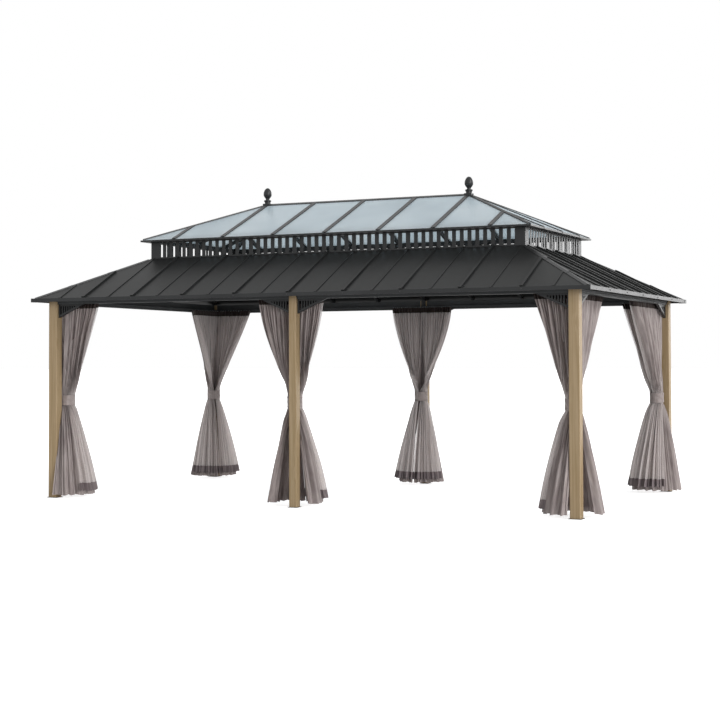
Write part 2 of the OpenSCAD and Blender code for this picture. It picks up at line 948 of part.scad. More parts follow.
// A curtain pair gathered inside the middle post at the front
module middle_curtain(shift) {
    color(fabric_colour)
        translate([-shift, -middle_bundle_y, 0]) {
            hull() {
                translate([-curtain_spread, -bundle_radius, curtain_top - curtain_heading])
                    cube([2 * curtain_spread, curtain_thickness, curtain_heading]);
                waist_disc(waist_high - 1);
            }
            curtain_waist();
            curtain_skirt(
                [shift, middle_bundle_y - post_y + middle_post_depth / 2],
                [middle_post_width, middle_post_depth]
            );
        }
}

// A curtain pair gathered inside the front right corner post
module corner_curtain(end_spread) {
    side_x = post_x - corner_post - soft_gap - corner_bundle_x;
    side_y = corner_bundle_y - post_y + corner_post + soft_gap;
    color(fabric_colour)
        translate([corner_bundle_x, -corner_bundle_y, 0]) {
            hull() {
                translate([side_x - curtain_spread, side_y, curtain_top - curtain_heading])
                    cube([curtain_spread, curtain_thickness, curtain_heading]);
                waist_disc(waist_high - 1);
            }
            hull() {
                translate([side_x - curtain_thickness, side_y, curtain_top - curtain_heading])
                    cube([curtain_thickness, end_spread, curtain_heading]);
                waist_disc(waist_high - 1);
            }
            curtain_waist();
            curtain_skirt(
                [
                    post_x - corner_post / 2 - corner_bundle_x,
                    corner_bundle_y - post_y + corner_post / 2
                ],
                [corner_post, corner_post]
            );
        }
}

module curtain_front_right() { corner_curtain(right_end_spread); }
module curtain_front_left() { mirror([1, 0, 0]) corner_curtain(left_end_spread); }
module curtain_rear_right() { mirror([0, 1, 0]) corner_curtain(right_end_spread); }
module curtain_rear_left() { rotate(180) corner_curtain(left_end_spread); }
module curtain_front_middle() { middle_curtain(front_middle_shift); }
module curtain_rear_middle() { rotate(180) middle_curtain(0); }

module tie_band() {
    inner = bundle_radius + soft_gap;
    translate([0, 0, band_low])
        difference() {
            cylinder(h = band_height, r = inner + band_thickness);
            translate([0, 0, -1])
                cylinder(h = band_height + 2, r = inner);
        }
}

module tie_bands() {
    color(band_colour) {
        at_corners()
            translate([corner_bundle_x, -corner_bundle_y, 0])
                tie_band();
        for (place = [[-front_middle_shift, -middle_bundle_y], [0, middle_bundle_y]])
            translate(place)
                tie_band();
    }
}

post_front_left();
post_front_middle();
post_front_right();
post_rear_left();
post_rear_middle();
post_rear_right();
foot_plates();
beam_front();
beam_rear();
beam_left();
beam_right();
splice_straps();
curtain_tracks();
gussets_front();
gussets_rear();
gussets_ends();
rafters();
hip_rafters();
roof_sheets_front();
roof_sheets_rear();
roof_sheets_left();
roof_sheets_right();
ribs_front();
ribs_rear();
ribs_ends();
hip_caps();
eave_trim();
frieze_front();
frieze_rear();
frieze_left();
frieze_right();
frieze_corners();
ring_bars();
glazing_long();
glazing_ends();
glazing_bars();
hip_bars();
ridge_cap();
upper_eave_trim();
finials();
curtain_front_left();
curtain_front_middle();
curtain_front_right();
curtain_rear_left();
curtain_rear_middle();
curtain_rear_right();
tie_bands();
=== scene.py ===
import json
import math

import bmesh
import bpy
import numpy as np
from mathutils import Matrix, Vector


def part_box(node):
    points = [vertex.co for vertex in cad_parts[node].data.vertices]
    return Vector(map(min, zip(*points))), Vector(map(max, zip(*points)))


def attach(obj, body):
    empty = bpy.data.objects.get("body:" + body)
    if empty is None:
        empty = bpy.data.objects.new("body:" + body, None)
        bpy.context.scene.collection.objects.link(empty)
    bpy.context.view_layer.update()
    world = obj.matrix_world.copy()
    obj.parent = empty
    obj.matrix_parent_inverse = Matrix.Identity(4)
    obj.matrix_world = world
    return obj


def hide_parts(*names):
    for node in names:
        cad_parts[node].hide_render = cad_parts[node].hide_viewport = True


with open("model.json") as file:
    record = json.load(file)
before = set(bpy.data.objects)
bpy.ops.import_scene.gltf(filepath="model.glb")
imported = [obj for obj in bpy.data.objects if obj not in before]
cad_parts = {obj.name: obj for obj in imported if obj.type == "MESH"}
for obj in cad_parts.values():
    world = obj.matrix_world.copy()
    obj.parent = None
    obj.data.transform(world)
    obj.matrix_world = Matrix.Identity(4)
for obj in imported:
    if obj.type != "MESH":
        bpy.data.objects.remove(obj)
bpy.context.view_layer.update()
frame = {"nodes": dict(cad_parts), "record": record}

ROOT = "root"
MM = 0.001

# ------------------------------------------------------------------ camera

CAMERA_PLACE = (7.008, -15.309, 1.396)
CAMERA_TURN = 0.44432
CAMERA_TILT = 0.03087
CAMERA_ROLL = -0.00247
FOCAL_LENGTH = 77.79
camera_data = bpy.data.cameras.new("camera")
camera_data.lens = FOCAL_LENGTH
camera_data.sensor_width = 36
camera_data.shift_x = 0.0247
camera_data.shift_y = -0.0601
camera = bpy.data.objects.new("camera", camera_data)
camera.matrix_world = (
    Matrix.Translation(CAMERA_PLACE)
    @ Matrix.Rotation(CAMERA_TURN, 4, "Z")
    @ Matrix.Rotation(math.pi / 2 + CAMERA_TILT, 4, "X")
    @ Matrix.Rotation(CAMERA_ROLL, 4, "Z")
)
bpy.context.scene.collection.objects.link(camera)
bpy.context.scene.camera = camera
bpy.context.scene.view_settings.view_transform = "Standard"

# ------------------------------------------------------------------ helpers


def linear(hex_colour):
    """A hex sRGB colour as the linear RGBA that shaders take."""
    channels = [int(hex_colour[i : i + 2], 16) / 255 for i in (1, 3, 5)]
    return [
        c / 12.92 if c <= 0.04045 else ((c + 0.055) / 1.055) ** 2.4 for c in channels
    ] + [1.0]


def per_metre(size_mm):
    """The scale of a pattern whose features are size_mm apart."""
    return 1000 / size_mm


def add(tree, kind, settings=None, inputs=None):
    """Adds a node with its settings, and its inputs as values or links."""
    node = tree.nodes.new(kind)
    for name, value in (settings or {}).items():
        setattr(node, name, value)
    for name, value in (inputs or {}).items():
        socket = node.inputs[name]
        if isinstance(value, bpy.types.NodeSocket):
            tree.links.new(value, socket)
        else:
            socket.default_value = value
    return node


def new_material(name):
    """An empty material, its tree and its output node."""
    material = bpy.data.materials.new(name)
    material.use_nodes = True
    tree = material.node_tree
    tree.nodes.clear()
    return material, tree, add(tree, "ShaderNodeOutputMaterial")


def ramp(tree, factor, stops):
    """A colour ramp from (place, hex colour) stops."""
    node = add(tree, "ShaderNodeValToRGB", inputs={"Fac": factor})
    elements = node.color_ramp.elements
    while len(elements) < len(stops):
        elements.new(0.5)
    for element, (place, colour) in zip(elements, stops):
        element.position = place
        element.color = linear(colour)
    return node.outputs["Color"]


# ------------------------------------------------------------------ materials

# How many bands a wave texture of scale 1 draws in a metre
WAVE_BANDS = 3.2


def noise(tree, vector, apart_mm, **more):
    """A noise pattern with its features apart_mm apart."""
    inputs = {"Vector": vector, "Scale": per_metre(apart_mm), **more}
    return add(tree, "ShaderNodeTexNoise", inputs=inputs).outputs["Fac"]


def bands(tree, vector, way, apart_mm, **more):
    """A wave pattern with bands apart_mm apart, counted in the direction way."""
    inputs = {"Vector": vector, "Scale": per_metre(apart_mm) / WAVE_BANDS, **more}
    settings = {"wave_type": "BANDS", "bands_direction": way}
    return add(tree, "ShaderNodeTexWave", settings, inputs).outputs["Fac"]


def cells(tree, vector, apart_mm, randomness):
    """The distance from the nearest of some points apart_mm apart."""
    return add(
        tree,
        "ShaderNodeTexVoronoi",
        settings={"feature": "F1"},
        inputs={"Vector": vector, "Scale": per_metre(apart_mm), "Randomness": randomness},
    ).outputs["Distance"]


def stretched(tree, vector, scale):
    """The space of a pattern, with each axis scaled."""
    inputs = {"Vector": vector, "Scale": scale}
    return add(tree, "ShaderNodeMapping", inputs=inputs).outputs["Vector"]


def ranged(tree, value, before, after):
    """The value, with the range before mapped on the range after."""
    return add(
        tree,
        "ShaderNodeMapRange",
        inputs={
            "Value": value,
            "From Min": before[0],
            "From Max": before[1],
            "To Min": after[0],
            "To Max": after[1],
        },
    ).outputs["Result"]


def tinted(tree, share, colour, tint):
    """The colour with a share of a tint in it."""
    return add(
        tree,
        "ShaderNodeMix",
        settings={"data_type": "RGBA"},
        inputs={"Factor": share, "A": colour, "B": linear(tint)},
    ).outputs["Result"]


def bumped(tree, height, strength, distance):
    """The normal of a surface with a pattern's height on it."""
    inputs = {"Height": height, "Strength": strength, "Distance": distance}
    return add(tree, "ShaderNodeBump", inputs=inputs).outputs["Normal"]


def principled(tree, inputs):
    return add(tree, "ShaderNodeBsdfPrincipled", inputs=inputs).outputs["BSDF"]


def translucent(tree, colour):
    node = add(tree, "ShaderNodeBsdfTranslucent", inputs={"Color": colour})
    return node.outputs["BSDF"]


def mixed(tree, share, first, second):
    """Two shaders mixed, with the share of the second."""
    inputs = {"Fac": share, 1: first, 2: second}
    return add(tree, "ShaderNodeMixShader", inputs=inputs).outputs["Shader"]


def coated_metal(name, colours, roughness, peel_mm, wave_mm, specular):
    """Polyester powder coat baked on metal: satin, with a fine orange peel and
    a faint drift of tone from the film's thickness and settled dust."""
    material, tree, output = new_material(name)
    place = add(tree, "ShaderNodeTexCoord").outputs["Object"]
    drift = noise(tree, place, wave_mm, Detail=4.0)
    # Real orange peel is about 1 mm, drawn coarser so that it shows
    peel = noise(tree, place, peel_mm, Detail=2.0)
    gloss = (roughness - 0.06, roughness + 0.08)
    coat = principled(
        tree,
        {
            "Base Color": ramp(tree, drift, list(zip((0.3, 0.5, 0.72), colours))),
            "Roughness": ranged(tree, drift, (0, 1), gloss),
            "Specular IOR Level": specular,
            "Normal": bumped(tree, peel, 0.25, 0.4 * MM),
        },
    )
    tree.links.new(coat, output.inputs["Surface"])
    return material


def wood_grain_film():
    """Wood-grain film baked on aluminium posts: flat-sawn grain along the post,
    with fine dark pores and a few small knots, under a satin lacquer."""
    material, tree, output = new_material("wood_grain_film_on_aluminium")
    place = add(tree, "ShaderNodeTexCoord").outputs["Object"]
    # Knots 150 mm apart across the post and 330 mm along it bend the grain beside them
    knots = cells(tree, stretched(tree, place, (1.0, 1.0, 0.45)), 150, 1.0)
    near_knot = ranged(tree, knots, (0.05, 0.3), (1.0, 0.0))
    bent = add(
        tree,
        "ShaderNodeVectorMath",
        settings={"operation": "MULTIPLY_ADD"},
        inputs={0: near_knot, 1: (0.012, 0.012, 0.0), 2: place},
    ).outputs["Vector"]
    # Growth rings about 14 mm apart, 40 times longer than wide
    ring_space = stretched(tree, bent, (1.0, 1.0, 0.025))
    rings = noise(tree, ring_space, 14, Detail=3.0, Distortion=0.4)
    # Pores are about 1 mm wide, drawn 4 mm wide so that they show
    pores = noise(tree, stretched(tree, bent, (1.0, 1.0, 0.04)), 4, Detail=2.0)
    grain = ramp(tree, rings, [(0.32, "#907b59"), (0.48, "#998465"), (0.66, "#a38e70")])
    pore_dark = ranged(tree, pores, (0.58, 0.75), (0.0, 0.16))
    with_pores = tinted(tree, pore_dark, grain, "#6d5a3e")
    knot_dark = ranged(tree, knots, (0.03, 0.13), (0.22, 0.0))
    film = principled(
        tree,
        {
            "Base Color": tinted(tree, knot_dark, with_pores, "#6b563a"),
            "Roughness": 0.52,
            "Specular IOR Level": 0.35,
            "Normal": bumped(tree, pores, 0.3, 0.3 * MM),
        },
    )
    tree.links.new(film, output.inputs["Surface"])
    return material


def twin_wall_polycarbonate():
    """Extruded twin-wall polycarbonate: frosted and milky, with the fluting
    between its walls running up the long slopes."""
    material, tree, output = new_material("twin_wall_polycarbonate")
    place = add(tree, "ShaderNodeTexCoord").outputs["Object"]
    # Flutes are about 6 mm apart, drawn 30 mm apart so that they show
    flutes = bands(tree, place, "X", 30)
    cloud = noise(tree, place, 700, Detail=2.0)
    colour = ramp(tree, cloud, [(0.3, "#d2dde3"), (0.5, "#dce6eb"), (0.7, "#e6eef2")])
    wall = principled(
        tree,
        {
            "Base Color": colour,
            "Roughness": 0.28,
            "IOR": 1.58,
            "Normal": bumped(tree, flutes, 0.12, 0.5 * MM),
        },
    )
    clear = add(tree, "ShaderNodeBsdfTransparent", inputs={"Color": linear("#e4edf1")})
    milky = mixed(tree, 0.45, wall, translucent(tree, colour))
    sheet = mixed(tree, 0.16, milky, clear.outputs["BSDF"])
    tree.links.new(sheet, output.inputs["Surface"])
    return material


def woven_polyester(name, colours, glow_share, sheen):
    """Woven polyester: a plain weave with a soft sheen where the yarns turn
    away, slight slubs, and some light passing through the single layer."""
    material, tree, output = new_material(name)
    cloth = add(tree, "ShaderNodeTexCoord").outputs["UV"]
    # Yarns are 0.5 mm apart, drawn 5 mm apart so that they show
    warp, weft = (bands(tree, cloth, way, 5, Distortion=1.0) for way in ("X", "Y"))
    weave = add(
        tree, "ShaderNodeMath", settings={"operation": "ADD"}, inputs={0: warp, 1: weft}
    ).outputs["Value"]
    slubs = noise(tree, stretched(tree, cloth, (1.0, 0.12, 1.0)), 30, Detail=3.0)
    colour = ramp(tree, slubs, list(zip((0.3, 0.5, 0.7), colours)))
    yarn = principled(
        tree,
        {
            "Base Color": colour,
            "Roughness": 0.6,
            "Specular IOR Level": 0.3,
            "Sheen Weight": sheen,
            "Sheen Roughness": 0.4,
            "Normal": bumped(tree, weave, 0.2, 0.3 * MM),
        },
    )
    layer = mixed(tree, glow_share, yarn, translucent(tree, colour))
    tree.links.new(layer, output.inputs["Surface"])
    return material


def mosquito_netting():
    """Knitted polyester netting: a pale open mesh, seen as a veil that thickens
    where its folds lie over each other."""
    material, tree, output = new_material("knitted_polyester_netting")
    cloth = add(tree, "ShaderNodeTexCoord").outputs["UV"]
    # Holes are 1.5 mm across, drawn as 9 mm cells so that the mesh shows
    holes = ranged(tree, cells(tree, cloth, 9, 0.15), (0.2, 0.6), (0.5, 0.14))
    # Where the net is bunched in narrow folds, its layers close the mesh
    folds = noise(tree, stretched(tree, cloth, (1.0, 0.04, 1.0)), 40, Detail=2.0)
    openness = add(
        tree,
        "ShaderNodeMath",
        settings={"operation": "MULTIPLY", "use_clamp": True},
        inputs={0: holes, 1: ranged(tree, folds, (0.35, 0.65), (1.5, 0.25))},
    ).outputs["Value"]
    thread = principled(
        tree,
        {"Base Color": linear("#e4dddb"), "Roughness": 0.7, "Specular IOR Level": 0.2},
    )
    threads = mixed(tree, 0.5, thread, translucent(tree, linear("#eee8e6")))
    clear = add(tree, "ShaderNodeBsdfTransparent").outputs["BSDF"]
    tree.links.new(mixed(tree, openness, threads, clear), output.inputs["Surface"])
    return material


FRAME_COAT = coated_metal(
    "charcoal_powder_coat_on_steel", ("#202122", "#252627", "#2b2c2d"), 0.4, 5, 380, 0.34
)
# The beams and curtain tracks wear the frame's own charcoal coat, painted lighter here as
# painted light: it stands in for the bounce light that their shaded inner faces lack under
# the roof
FRAME_COAT_PAINTED_LIGHTER = coated_metal(
    "charcoal_powder_coat_painted_lighter_for_shade",
    ("#343637", "#3a3c3d", "#404243"),
    0.46,
    5,
    420,
    0.34,
)
ROOF_COAT = coated_metal(
    "charcoal_coated_steel_sheet", ("#1d1e1e", "#212222", "#272828"), 0.42, 6, 520, 0.14
)
SCREW_COAT = coated_metal(
    "black_oxide_steel_screws", ("#1d1e1f", "#232425", "#2c2d2e"), 0.4, 3, 60, 0.5
)
ZINC = coated_metal(
    "zinc_plated_steel", ("#8d9092", "#9ea1a3", "#b2b5b7"), 0.34, 3, 60, 0.5
)
WOOD_FILM = wood_grain_film()
GLAZING = twin_wall_polycarbonate()
CURTAIN_CLOTH = woven_polyester(
    "woven_polyester_taupe", ("#938886", "#aba09e", "#c2b9b6"), 0.3, 0.2
)
HEADING_TAPE = woven_polyester(
    "woven_heading_tape_brown", ("#2b221f", "#332926", "#3d322e"), 0.05, 0.1
)
HEM_CLOTH = woven_polyester(
    "doubled_polyester_hem", ("#71676a", "#7c7172", "#877c7b"), 0.1, 0.12
)
BAND_CLOTH = woven_polyester(
    "woven_polyester_tie", ("#8a7f7c", "#978c89", "#a59a97"), 0.12, 0.2
)
NETTING = mosquito_netting()

SLOT_FINISH = {
    "wood_effect": WOOD_FILM,
    "dark_frame": FRAME_COAT,
    "roof_steel": ROOF_COAT,
    "polycarbonate": GLAZING,
    "curtain_fabric": CURTAIN_CLOTH,
    "tie_fabric": BAND_CLOTH,
}
for row in frame["record"]["subparts"]:
    cad_node = frame["nodes"][row["node"]]
    finish = SLOT_FINISH[row["material_slot"]]
    # Beams and curtain tracks take the frame coat painted lighter, a painted brightening
    # of their shade under the roof
    if row["node"].startswith(("beam_", "curtain_tracks")):
        finish = FRAME_COAT_PAINTED_LIGHTER
    if not cad_node.data.materials:
        cad_node.data.materials.append(finish)
    for place in range(len(cad_node.data.materials)):
        cad_node.data.materials[place] = finish

# ------------------------------------------------------------------ sizes from the frame

trim_low, trim_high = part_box("eave_trim")
track_low, track_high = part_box("curtain_tracks")
corner_low, corner_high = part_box("post_front_right")
middle_post_low, middle_post_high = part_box("post_front_middle")
band_low, band_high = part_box("tie_bands")
hem_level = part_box("curtain_front_middle")[0].z
sheet_low, sheet_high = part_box("roof_sheets_front")
hip_low, hip_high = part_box("hip_caps")
frieze_low, frieze_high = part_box("frieze_front")
upper_trim_low, upper_trim_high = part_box("upper_eave_trim")
splice_low, splice_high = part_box("splice_straps")
# A corner bundle stands BUNDLE_CLEAR behind its post and overlaps it along the
# rail, and a middle bundle stands against the splice strap of its post
BUNDLE_RADIUS = 75 * MM
BUNDLE_OVERLAP = 60 * MM
BUNDLE_CLEAR = 12 * MM
FRONT_MIDDLE_SHIFT = 60 * MM
STRAP = 5 * MM
TRACK_MIDDLE = 30 * MM
PAIR_CLEAR = 2 * MM
curtain_top = track_low.z - 1 * MM
corner_bundle = (
    corner_low.x - BUNDLE_RADIUS + BUNDLE_OVERLAP,
    corner_high.y + BUNDLE_RADIUS + BUNDLE_CLEAR,
)
middle_bundle_y = middle_post_high.y + STRAP + BUNDLE_RADIUS
rail_x = track_high.x - TRACK_MIDDLE
rail_y = abs(track_low.y) - TRACK_MIDDLE

# ------------------------------------------------------------------ mesh helpers


def finished(name, points, faces, material, smooth=False, uv=None):
    """A new piece on the body, with its place in its mesh."""
    mesh = bpy.data.meshes.new(name)
    mesh.from_pydata([tuple(p) for p in points], [], faces)
    mesh.materials.append(material)
    if uv is not None:
        layer = mesh.uv_layers.new(name="cloth")
        corners = np.empty(len(mesh.loops), np.int32)
        mesh.loops.foreach_get("vertex_index", corners)
        layer.data.foreach_set("uv", uv[corners].astype(np.float32).ravel())
    if smooth:
        mesh.polygons.foreach_set("use_smooth", [True] * len(mesh.polygons))
    mesh.validate()
    mesh.update()
    piece = bpy.data.objects.new(name, mesh)
    bpy.context.scene.collection.objects.link(piece)
    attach(piece, ROOT)
    return piece


def grid_faces(rows, columns):
    """Faces of a grid of points, row by row."""
    corners = [r * columns + c for r in range(rows - 1) for c in range(columns - 1)]
    return [(i, i + 1, i + columns + 1, i + columns) for i in corners]


# ------------------------------------------------------------------ curtains

CORNERS = (
    ("right", 1, "front", -1),
    ("left", -1, "front", -1),
    ("right", 1, "rear", 1),
    ("left", -1, "rear", 1),
)
WAIST_MARGIN = 9 * MM
WAIST_TOP = band_high.z + WAIST_MARGIN
WAIST_FOOT = band_low.z - WAIST_MARGIN
POINTS_PER_PLEAT = 11
# Pleats are this much deeper halfway between the rail and the waist
MIDWAY_DEPTH = 12 * MM
# How far the cloth strays from its plan line where nothing holds it
STRAY = 9 * MM
# The top edge sinks this much between hooks, fading out over a depth
HEADING_SINK = 4 * MM
SINK_DEPTH = 60 * MM
# The hem rises in waves up to twice this high, fading out over a height
HEM_WAVE = 5 * MM
WAVE_DEPTH = 200 * MM
# Halvings that find how deep the pleats of a row are
DEPTH_STEPS = 12


def unit(vector):
    return np.asarray(vector, float) / np.linalg.norm(vector)


def smooth_step(t):
    t = np.clip(t, 0, 1)
    return t * t * (3 - 2 * t)


def pleat_phase(share, count, rng):
    """Phase along the cloth's width, with pleats of uneven width."""
    widths = rng.uniform(0.55, 1.5, count)
    edges = np.concatenate([[0], np.cumsum(widths)]) / widths.sum()
    return np.interp(share, edges, np.arange(count + 1)) * 2 * math.pi


def wander(share, count, rng):
    """A value that wanders smoothly across the cloth, between -1 and 1."""
    knots = np.linspace(0, 1, count)
    values = rng.uniform(-1, 1, count)
    coarse = np.interp(share, knots, values)
    return np.convolve(np.pad(coarse, 6, mode="edge"), np.ones(13) / 13, "valid")


def clear_of_post(row, post):
    """Moves the points of a row that are inside a post out to its nearest side."""
    low, high = post
    inside = np.all((row > low) & (row < high), axis=1)
    if not inside.any():
        return row
    row = row.copy()
    for index in np.nonzero(inside)[0]:
        ways = np.concatenate([row[index] - low, high - row[index]])
        way = int(np.argmin(ways))
        axis = way % 2
        row[index, axis] = low[axis] if way < 2 else high[axis]
    return row


def hanging_panel(spec, levels, columns, rng):
    """Points of a tied-back panel, row by row from the rail to the hem.

    In each row the cloth follows a plan line, and its pleats swing to both
    sides of that line. They are as deep as it takes for the cloth's flat width,
    up to a limit, so a row at the waist is shorter than that width."""
    share = np.linspace(0, 1, columns)
    fine = pleat_phase(share, spec["pleats"], rng)
    broad = pleat_phase(share, spec["folds"], rng)
    depth = 1 + 0.45 * wander(share, spec["pleats"], rng)
    stray = wander(share, 7, rng)
    lean = wander(share, 6, rng)
    out, inward = unit(spec["out"]), unit(spec["inward"])
    waist_out, waist_in = unit(spec["waist_out"]), unit(spec["waist_in"])
    centre = np.asarray(spec["bundle"], float)
    along_rail = spec["rail_from"] + (spec["rail_to"] - spec["rail_from"]) * share
    top_line = centre + np.outer(along_rail, out) + inward * spec["rail_in"]

    def arc(radius, turn_from, turn_to):
        turn = np.radians(turn_from + (turn_to - turn_from) * share)
        return centre + radius * (
            np.outer(np.cos(turn), waist_out) + np.outer(np.sin(turn), waist_in)
        )

    waist_line = arc(spec["waist_radius"], *spec["waist_turn"])
    hem_line = arc(spec["hem_radius"], *spec["hem_turn"])
    rows = []
    for level in levels:
        if level >= WAIST_TOP:
            t = (curtain_top - level) / (curtain_top - WAIST_TOP)
            pull = (t ** (spec["belly"] + 0.3 * (1 - share)))[:, None]
            line = top_line + (waist_line - top_line) * pull
            mix = spec["merge_top"] * math.sin(math.pi * min(1, t * 1.05))
            limit = spec["depth_top"] * (1 - t) + spec["depth_waist"] * t
            limit += MIDWAY_DEPTH * math.sin(math.pi * t)
            tight = smooth_step((t - 0.88) / 0.12)
        elif level <= WAIST_FOOT:
            s = (WAIST_FOOT - level) / (WAIST_FOOT - hem_level)
            line = waist_line + (hem_line - waist_line) * s**0.74
            mix = spec["merge_hem"] * smooth_step(s * 1.6)
            more = spec["depth_hem"] - spec["depth_waist"]
            limit = spec["depth_waist"] + more * smooth_step(s * 1.3)
            tight = 1 - smooth_step(s / 0.12)
        else:
            line, mix, limit, tight = waist_line.copy(), 0.0, spec["depth_waist"], 1.0
        down = (curtain_top - level) / (curtain_top - hem_level)
        along = np.gradient(line, axis=0)
        along /= np.maximum(np.linalg.norm(along, axis=1), 1e-6)[:, None]
        across = np.stack([-along[:, 1], along[:, 0]], axis=1)
        slip = 0.5 * lean * math.sin(2.3 * down * math.pi + spec["seed"])
        swing = (1 - mix) * np.sin(fine + slip)
        swing += mix * 1.25 * np.sin(broad + 0.6 * slip + spec["seed"])
        swing += 0.16 * np.sin(2 * fine + 1.1 + 2 * down)
        swing += 0.2 * mix * np.sin(2 * broad - 3 * down)
        swing *= depth * (1 - tight) + 0.9 * tight
        low, high = 0.0, limit
        for _ in range(DEPTH_STEPS):
            size = (low + high) / 2
            row = line + across * (swing * size)[:, None]
            length = np.linalg.norm(np.diff(row, axis=0), axis=1).sum()
            low, high = (size, high) if length < spec["width"] else (low, size)
        loose = STRAY * math.sin(math.pi * down) * (1 - tight)
        row += across * (stray * loose)[:, None]
        row = clear_of_post(row, spec["post"])
        rows.append(np.column_stack([row, np.full(columns, level)]))
    points = np.array(rows)
    # The top edge is drawn up at each hook, and the hem hangs in shallow waves
    drop = np.clip((points[:, :, 2] - (curtain_top - SINK_DEPTH)) / SINK_DEPTH, 0, 1)
    points[:, :, 2] -= drop * (HEADING_SINK * (1 - np.cos(fine)) / 2)[None, :]
    rise = np.clip(1 - (points[:, :, 2] - levels[-1]) / WAVE_DEPTH, 0, 1)
    points[:, :, 2] += rise * (HEM_WAVE * (1 + np.sin(broad)))[None, :]
    return points.reshape(-1, 3)


def panel_levels(bottom, rows):
    """Levels from rail to hem, closer together round the waist."""
    upper = np.linspace(curtain_top, WAIST_TOP, int(rows * 0.5))
    waist = np.linspace(WAIST_TOP, WAIST_FOOT, 5)[1:]
    steps = np.linspace(0, 1, int(rows * 0.45))[1:] ** 1.3
    return np.concatenate([upper, waist, WAIST_FOOT - (WAIST_FOOT - bottom) * steps])


def make_panel(name, spec, material, bottom, rows, trims):
    """A curtain panel: cloth, with its heading tape and hem as bands of faces."""
    rng = np.random.default_rng(spec["seed"])
    columns = spec["pleats"] * POINTS_PER_PLEAT + 1
    levels = panel_levels(bottom, rows)
    points = hanging_panel(spec, levels, columns, rng)
    across = np.tile(np.linspace(0, spec["width"], columns), len(levels))
    uv = np.column_stack([across, np.repeat(levels, columns)])
    faces = grid_faces(len(levels), columns)
    piece = finished(name, points, faces, material, True, uv)
    for trim_material, low, high in trims:
        piece.data.materials.append(trim_material)
        index = len(piece.data.materials) - 1
        for row in range(len(levels) - 1):
            if low <= (levels[row] + levels[row + 1]) / 2 <= high:
                first = row * (columns - 1)
                for face in piece.data.polygons[first : first + columns - 1]:
                    face.material_index = index
    return piece


HEADING_DEPTH = 62 * MM
HEM_FOLD = 14 * MM
NET_HEADING_DEPTH = 48 * MM
NET_HEM_DEPTH = 88 * MM
NET_HEM = hem_level + 42 * MM
# The net hangs this far inside the cloth, and spreads further along the rail
NET_INSIDE = 34 * MM
NET_FURTHER = 8 * MM
# A net draws its own random numbers, this far from the cloth's seed
NET_SEEDS = 50
CLOTH_ROWS = 84
NET_ROWS = 64
hook_places = []


def curtain_pair(side_name, bundle, post, runs, seed):
    """The cloth and netting panels of one bundle, and the places of their hooks.

    A run is one panel of each. It says which way the rail and the waist go, where
    the panels start on the rail and their length there, their flat widths, and
    how many pleats and folds they have. Its turns are degrees round the bundle."""
    standing = None
    for number, run in enumerate(runs):
        spec = dict(run, bundle=bundle, post=post)
        name = f"curtain_{side_name}_{run['name']}"
        cloth = dict(
            spec,
            seed=seed + 3 * number,
            width=run["cloth_width"],
            rail_to=run["rail_from"] + run["rail_length"],
            waist_radius=52 * MM,
            waist_turn=(-90, 72),
            hem_turn=(run["hem_start"], 88),
            hem_radius=run["hem_reach"],
            depth_top=30 * MM,
            depth_waist=22 * MM,
            depth_hem=34 * MM,
            merge_top=0.52,
            merge_hem=0.6,
        )
        panel = make_panel(
            name + "_cloth",
            cloth,
            CURTAIN_CLOTH,
            hem_level,
            CLOTH_ROWS,
            [
                (HEADING_TAPE, curtain_top - HEADING_DEPTH, curtain_top),
                (HEM_CLOTH, hem_level, hem_level + HEM_FOLD),
            ],
        )
        standing = standing or panel
        net = dict(
            cloth,
            seed=seed + 3 * number + NET_SEEDS,
            width=run["net_width"],
            pleats=run["pleats"] - 2,
            folds=run["folds"] - 1,
            rail_to=run["rail_from"] + run["rail_length"] + NET_FURTHER,
            rail_in=run["rail_in"] + NET_INSIDE,
            waist_radius=64 * MM,
            waist_turn=(-20, 78),
            hem_turn=(16, 90),
            hem_radius=run["hem_reach"] + 52 * MM,
            depth_top=24 * MM,
            depth_waist=14 * MM,
            depth_hem=34 * MM,
            merge_top=0.3,
            merge_hem=0.5,
        )
        make_panel(
            name + "_netting",
            net,
            NETTING,
            NET_HEM,
            NET_ROWS,
            [
                (HEADING_TAPE, curtain_top - NET_HEADING_DEPTH, curtain_top),
                (HEM_CLOTH, NET_HEM, NET_HEM + NET_HEM_DEPTH),
            ],
        )
        for step in np.linspace(0.01, 0.99, run["pleats"] + 1):
            for inset in (run["rail_in"], run["rail_in"] + NET_INSIDE):
                spot = (
                    np.asarray(bundle)
                    + unit(run["out"]) * (run["rail_from"] + run["rail_length"] * step)
                    + unit(run["inward"]) * inset
                )
                hook_places.append(((spot[0], spot[1], curtain_top), (*run["inward"], 0)))
    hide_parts(f"curtain_{side_name}")


HALF = math.sqrt(0.5)
CORNER_START = 30 * MM
END_START = 30 * MM
# The two panels of a middle bundle lap this far past its centre
MIDDLE_OVERLAP = 8 * MM
LONG_CLOTH = {"cloth_width": 1.35, "net_width": 1.15, "pleats": 14, "folds": 5}
LEFT_END_CLOTH = {"cloth_width": 1.6, "net_width": 1.25, "pleats": 13, "folds": 6}
RIGHT_END_CLOTH = {"cloth_width": 1.5, "net_width": 1.25, "pleats": 12, "folds": 6}
HEM_REACH = 250 * MM
MIDDLE_HEM_REACH = 238 * MM
